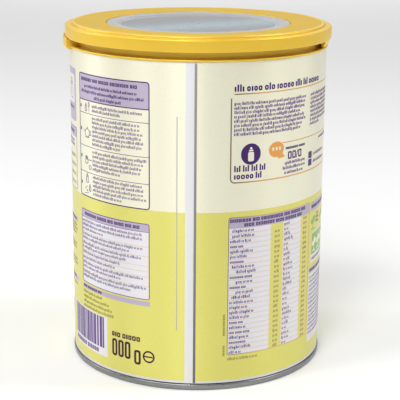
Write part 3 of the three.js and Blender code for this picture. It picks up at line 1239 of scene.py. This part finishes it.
def makeLeftColumn():
    left, right = leftColumn["left"], leftColumn["right"]
    roundedBar("lilac", left, 122.6, right, 148.4, 1.4)
    roundedBar("milk", left + 2.2, 131.2, right - 2.4, 145.2, 1.2)
    for k in range(3):
        bottleMark(left + 8.0 + 13.0 * k, 133.2, 1.5)
    textBlock("purple", left + 2.4, right - 2.2, 128.4, 2.1, 2, 1.05)
    headerBar("lilac", left + 0.1, 114.8, right - 0.2, 119.6, 1.0)
    textLine("purple", left + 2.0, right - 1.6, 116.3, 1.6, "capital")
    textBlock("printPurple", left + 1.6, right - 1.6, 112.2, 2.1, 3, 1.0)
    for z in (90.6, 95.0, 99.5, 104.0):
        bar("paleYellow", left + 0.3, z, right - 0.5, z + 2.2)
        for x0, x1 in ((2.0, 14.0), (18.0, 26.0), (30.0, 40.0)):
            textLine("palePurple", left + x0, left + x1, z + 0.6, 1.0)
    for x in (left + 16.0, left + 28.0):
        bar("softPurple", x, 88.8, x + 0.2, 107.0)
    roundedBar("softPurple", left, 88.6, right + 0.2, 119.8, 1.2, 0.28)
    for low, top, count in ((71.8, 69.4, 4), (40.8, 38.4, 2)):
        bar("lilac", left, low, right - 0.6, low + 2.6)
        textLine("purple", left + 1.0, right - 2.2, low + 0.7, 1.3, "capital")
        textBlock("olive", left + 1.0, right - 1.2, top, 2.1, count, 1.0)
    for top in (59.4, 51.2):
        textBlock("olive", left + 1.0, right - 1.2, top, 2.1, 3, 1.0)
    for k in range(3):
        disc("lilac", left + 5.0 + 10.0 * k, 25.0, 3.8)
        dropShape("purple", left + 5.0 + 10.0 * k, 24.4, 1.5)


def makeFoldLine():
    bar("silver", -8.65, 30.0, -8.2, 132.8)


# The front faces away from the weld: a plain label of the same inks

frontLabel = {"middle": 199.5, "badgeHalf": 43.0, "badgeLow": 106.0, "badgeHigh": 138.0, "badgeCorner": 12.0}


def makeFrontLabel():
    p = frontLabel
    middle = p["middle"]
    left, right = middle - p["badgeHalf"], middle + p["badgeHalf"]
    roundedBar("purple", left, p["badgeLow"], right, p["badgeHigh"], p["badgeCorner"])
    roundedBar("gold", left - 1.6, p["badgeLow"] - 1.6, right + 1.6, p["badgeHigh"] + 1.6,
               p["badgeCorner"] + 1.6, 0.6)
    centredLine("knockout", middle, 62, 121.6, 7.4, "heading")
    centredLine("knockout", middle, 46, 111.6, 3.4, "capital")
    for k in range(-3, 4):
        disc("orange", middle + 7.0 * k, 146.0, 1.1)
    centredLine("purple", middle, 74, 97.6, 3.2, "heading")
    rule("gold", middle - 56, middle + 56, 93.6, 0.5)
    bigBottle(middle - 20, 22)
    disc("purple", middle + 26, 66, 13.5)
    disc("knockout", middle + 26, 66, 10.4, 0.7)
    dropShape("knockout", middle + 26, 63.6, 4.6)
    for z, width in ((43.0, 46), (37.4, 38)):
        centredLine("plum", middle + 26, width, z, 2.3, "capital")
    for k in range(4):
        roundedBar("lilac", middle + 4.5 + 11.2 * k, 24.0, middle + 14.3 + 11.2 * k, 31.0, 1.6)
        disc("purple", middle + 9.4 + 11.2 * k, 27.5, 1.5)
    centredLine("plum", middle + 26, 40, 14.0, 3.0, "capital")


def bigBottle(x, z):
    # a feeding bottle on a pale disc
    disc("lilac", x, z + 32, 29)
    roundedBar("milk", x - 11, z + 8, x + 11, z + 40, 4.5)
    roundedBar("softPurple", x - 11.4, z + 7.6, x + 11.4, z + 40.4, 4.8, 0.8)
    roundedBar("orange", x - 8.4, z + 41.4, x + 8.4, z + 46.4, 1.4)
    disc("milk", x, z + 50.6, 3.6, stretch=1.15)
    for level in range(5):
        rule("softPurple", x - 6.5, x - 1.0 - 2.0 * (level % 2), z + 14 + 5.2 * level, 0.7)


def dropShape(ink, x, z, radius):
    # a milk drop: a disc with a turned square for its point
    disc(ink, x, z, radius)
    turnedBar(ink, x, z + radius * 0.72, radius * 1.25, radius * 1.25, 45)


def cutForBend(flat):
    # cuts across wide shapes, so that they can follow the round wall
    editAll(flat)
    xs = [vertex.co.x for vertex in flat.data.vertices]
    step = bendPitch * mm
    for k in range(math.ceil(min(xs) / step), math.floor(max(xs) / step) + 1):
        selectAll()
        bpy.ops.mesh.bisect(plane_co=(k * step, 0, 0), plane_no=(1, 0, 0))
    leaveEdit()


def rollInk(ink):
    colour, height = inkLayers[ink]
    shapes, pieces = sheets[ink]["shapes"], sheets[ink]["words"]
    if shapes:
        flat = joined(shapes, "print_" + ink)
        cutForBend(flat)
        pieces = [flat] + pieces
    whole = joined(pieces, "print_" + ink)
    editAll(whole)
    bpy.ops.transform.translate(value=(0, inkSunk * mm, 0))
    applyModifier(whole, "SOLIDIFY", thickness=(height + inkSunk) * mm, offset=1.0)
    xs = [vertex.co.x for vertex in whole.data.vertices]
    applyModifier(whole, "SIMPLE_DEFORM", deform_method="BEND", deform_axis="Z",
                  angle=(max(xs) - min(xs)) / (tin["radius"] * mm))
    whole.location = (0, -tin["radius"] * mm, 0)
    bakePlace(whole)
    pick(whole)
    bpy.ops.object.shade_smooth_by_angle(angle=math.radians(20))
    inkMaterial = fadingGoldInk if ink == "gold" else varnishedInk
    dress(whole, inkMaterial("varnished" + ink[0].upper() + ink[1:] + "Ink", colour))
    print("ink rolled on:", ink, len(whole.data.polygons))


def makePrint():
    makeStepsPanel()
    makeNotesPanel()
    makeStripeCode()
    makeQuantityMark()
    makeFoldLine()
    makeIntroPanel()
    makeFiguresTable()
    makeRightColumn()
    makeLeftColumn()
    makeFrontLabel()
    for ink in inkLayers:
        rollInk(ink)


# Floor, lights and camera

studio = {
    "floorSize": 8.0,
    "floor": "#f7f7f7",
    "worldStrength": 0.37,
    "aim": 85,             # mm, the height that the softboxes look at
    "boxDistance": 1.4,    # metres, like all sizes of lights
    "boxWidth": 0.3,
    # softboxes: bearing from the camera's side in degrees (plus is the photo's right), height angle in
    # degrees, height, power in watts
    "boxes": {
        "boxNear": (-8, 50, 0.6, 3.4),
        "boxKey": (-20, 50, 0.6, 4.2),
        "boxLeft": (-58, 50, 0.6, 4.5),
        "boxRimLeft": (-105, 30, 0.9, 3.5),
        "boxBackLeft": (-125, 30, 0.9, 1.15),
        "boxRight": (90, 50, 0.6, 5.3),
        "boxRimRight": (108, 30, 0.9, 1.7),
    },
    # a wide panel over the floor behind, facing straight down, keeps the background pale
    "panel": {"behind": 2.5, "height": 1.1, "width": 2.6, "depth": 1.4, "power": 14.0},
    # a slim cool strip low behind, whose reflection lies across the lid's window
    "strip": {"bearing": 180, "rise": 6.75, "distance": 1.6, "width": 0.9, "height": 0.006, "power": 0.010,
              "tilt": 3.8, "colour": (0.35, 0.8, 1.0)},
}


def matteBoard():
    # emulsion-painted board: flat, pale, a trace of roller texture
    material, tree = newMaterial("mattePaintedBoard")
    place = addNode(tree, "TexCoord")
    roller = addNode(tree, "TexNoise", None, {"Scale": 1 / (2 * mm), "Detail": 2.0},
                     {"Vector": place.outputs["Object"]})
    relief = addNode(tree, "Bump", None, {"Strength": 0.05, "Distance": 0.1 * mm},
                     {"Height": roller})
    shader = addNode(tree, "BsdfPrincipled", None,
                     {"Base Color": linear(studio["floor"]), "Roughness": 0.85}, {"Normal": relief})
    finishMaterial(tree, shader)
    return material


def areaLight(name, place, width, height, power):
    # a soft rectangle of light facing down, left out of the picture itself
    bpy.ops.object.light_add(type="AREA", location=place)
    light = bpy.context.object
    light.name = name
    light.data.shape = "RECTANGLE"
    light.data.size = width
    light.data.size_y = height
    light.data.energy = power
    light.visible_camera = False
    return light


def aimedLight(name, aim, bearing, rise, distance, width, height, power):
    # a light that looks at the tin's axis at the height aim, in mm
    a, e = math.radians(bearing), math.radians(rise)
    away = Vector((math.sin(a) * math.cos(e), -math.cos(a) * math.cos(e), math.sin(e)))
    light = areaLight(name, Vector((0, 0, aim * mm)) + away * distance, width, height, power)
    light.rotation_euler = away.to_track_quat("Z", "Y").to_euler()
    return light


def makeStage():
    clearSelection()
    bpy.ops.mesh.primitive_plane_add(size=studio["floorSize"])
    floor = bpy.context.object
    floor.name = "floor"
    floor.data.materials.append(matteBoard())
    world = bpy.data.worlds.new("paleStudio")
    bpy.context.scene.world = world
    world.use_nodes = True
    backdrop = world.node_tree.nodes["Background"]
    backdrop.inputs["Color"].default_value = (1, 1, 1, 1)
    backdrop.inputs["Strength"].default_value = studio["worldStrength"]
    for name, (bearing, rise, height, power) in studio["boxes"].items():
        aimedLight(name, studio["aim"], bearing, rise, studio["boxDistance"], studio["boxWidth"],
                   height, power)
    panel = studio["panel"]
    over = (0, panel["behind"], panel["height"])
    areaLight("panelBehind", over, panel["width"], panel["depth"], panel["power"])
    strip = studio["strip"]
    cool = aimedLight("stripBehind", window["panelTop"], strip["bearing"], strip["rise"], strip["distance"],
                      strip["width"], strip["height"], strip["power"])
    cool.rotation_euler.rotate_axis("Z", math.radians(strip["tilt"]))
    cool.data.color = strip["colour"]
    print("stage made")


# camera fitted to the photo's edges on the tin: where it stands, how it is turned and its lens
shot = {
    "distance": 604.0,     # mm from the tin's axis, level
    "height": 238.1,       # mm above the floor
    "bearing": 0.81,       # degrees, so the side seam sits just left of the middle
    "pitch": 14.905,
    "yaw": 0.143,
    "roll": 0.446,
    "focalPixels": 1217.7,
    "framePixels": 400,
    "sensor": 36,          # mm
}


def makeCamera():
    bearing = math.radians(shot["bearing"])
    outward = Vector((math.sin(bearing), -math.cos(bearing), 0)) * shot["distance"]
    bpy.ops.object.camera_add(location=(outward + Vector((0, 0, shot["height"]))) * mm)
    camera = bpy.context.object
    camera.name = "photoCamera"
    aimed = Euler((math.radians(90 - shot["pitch"]), 0, bearing - math.radians(shot["yaw"]))).to_matrix()
    rolled = aimed @ Matrix.Rotation(math.radians(shot["roll"]), 3, "Z")
    camera.rotation_euler = rolled.to_euler()
    camera.data.sensor_width = shot["sensor"]
    camera.data.lens = shot["focalPixels"] / shot["framePixels"] * shot["sensor"]
    camera.data.clip_start = 0.01
    bpy.context.scene.camera = camera
    bpy.context.scene.view_settings.view_transform = "Standard"


plastic = mouldedPolypropylene()
makeStage()
makeCamera()
makeWall()
makeSeam()
makeFoot()
makeSeal()
makeCollar(plastic)
makeLidRing(plastic)
makeWindow()
makePrint()
